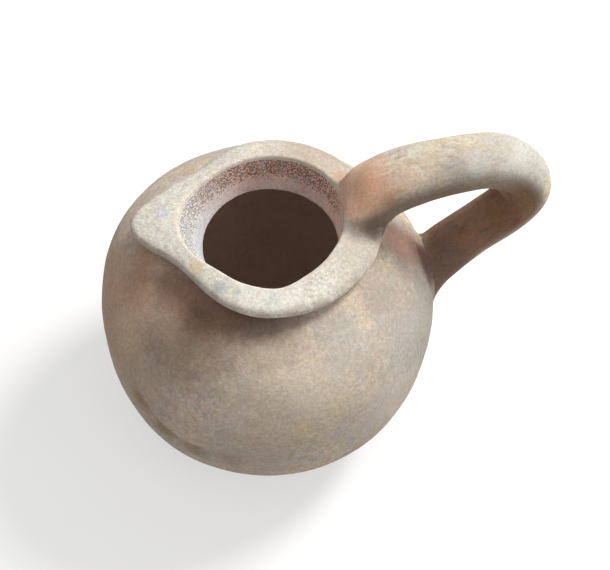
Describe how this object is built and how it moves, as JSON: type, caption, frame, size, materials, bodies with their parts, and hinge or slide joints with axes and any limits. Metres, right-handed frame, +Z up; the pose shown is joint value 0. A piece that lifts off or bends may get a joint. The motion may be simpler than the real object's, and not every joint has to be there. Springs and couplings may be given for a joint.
{
  "type": "jug",
  "caption": "Round-bellied clay jug with a short neck, a broad flat lip drawn out into a pouring beak, and a thick looped handle from lip to shoulder.",
  "frame": {"origin": "centre of the foot's flat resting face, on the axis of the body", "axes": "+Z up along the axis of the body, +X towards the handle, the beak near -X"},
  "size_m": [0.1852, 0.14, 0.147],
  "materials": {
    "clay_body": "matte unglazed earthenware, dusty, softly mottled",
    "clay_throat": "matte unglazed earthenware, pitted, with a pale bloom",
    "clay_lip": "matte unglazed earthenware under a cream bloom",
    "clay_handle": "matte unglazed earthenware, streaked and scratched"
  },
  "bodies": {
    "root": {"foot_disc": "clay_body", "base_bowl": "clay_body", "body_dome": "clay_body", "neck_collar": "clay_throat", "spouted_rim": "clay_lip", "handle_rim_wad": "clay_handle", "handle_coil": "clay_handle", "handle_body_wad": "clay_handle"}
  },
  "joints": []
}
